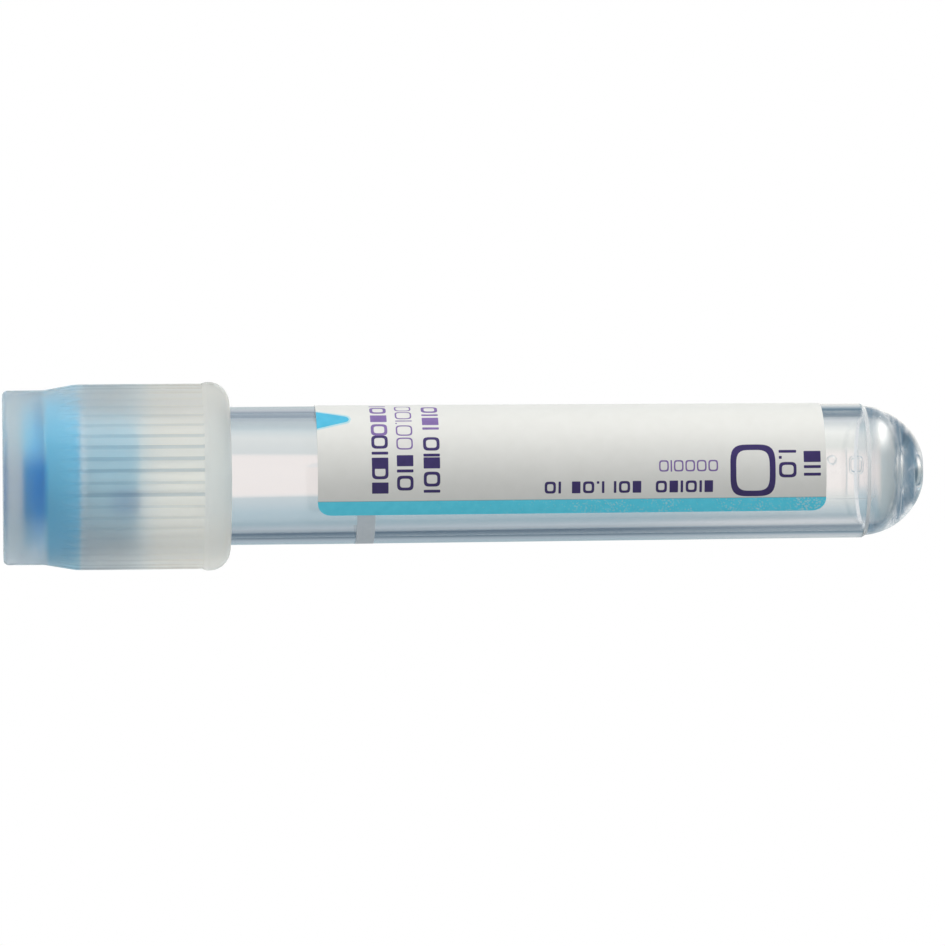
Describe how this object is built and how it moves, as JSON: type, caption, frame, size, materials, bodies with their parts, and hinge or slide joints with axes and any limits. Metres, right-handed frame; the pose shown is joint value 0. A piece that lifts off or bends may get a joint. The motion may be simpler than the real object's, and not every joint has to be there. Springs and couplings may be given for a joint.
{
  "type": "blood collection tube",
  "caption": "Closed plastic test tube with an inner tube, a rubber stopper in a fluted pull-off shield, and a wrapped label.",
  "frame": {"origin": "centre of the closure's flat head, on the surface that the closed tube stands on", "axes": "+Z along the tube's axis, from the closure's head to the domed end; the label covers the front, -Y, and the -X side"},
  "size_m": [0.0166, 0.0166, 0.0815],
  "materials": {
    "shield": "milky translucent",
    "stopper": "satin light blue",
    "outer_tube": "clear",
    "inner_tube": "clear with a slight haze",
    "label": "satin film"
  },
  "bodies": {
    "closure": {"shield": "shield", "stopper": "stopper"},
    "tube": {"outer_tube": "outer_tube", "inner_tube": "inner_tube", "label": "label"}
  },
  "joints": [
    {"name": "tube_pull", "type": "slide", "parent": "closure", "child": "tube", "axis": [0, 0, 1], "range_m": [0, 0.025]}
  ]
}
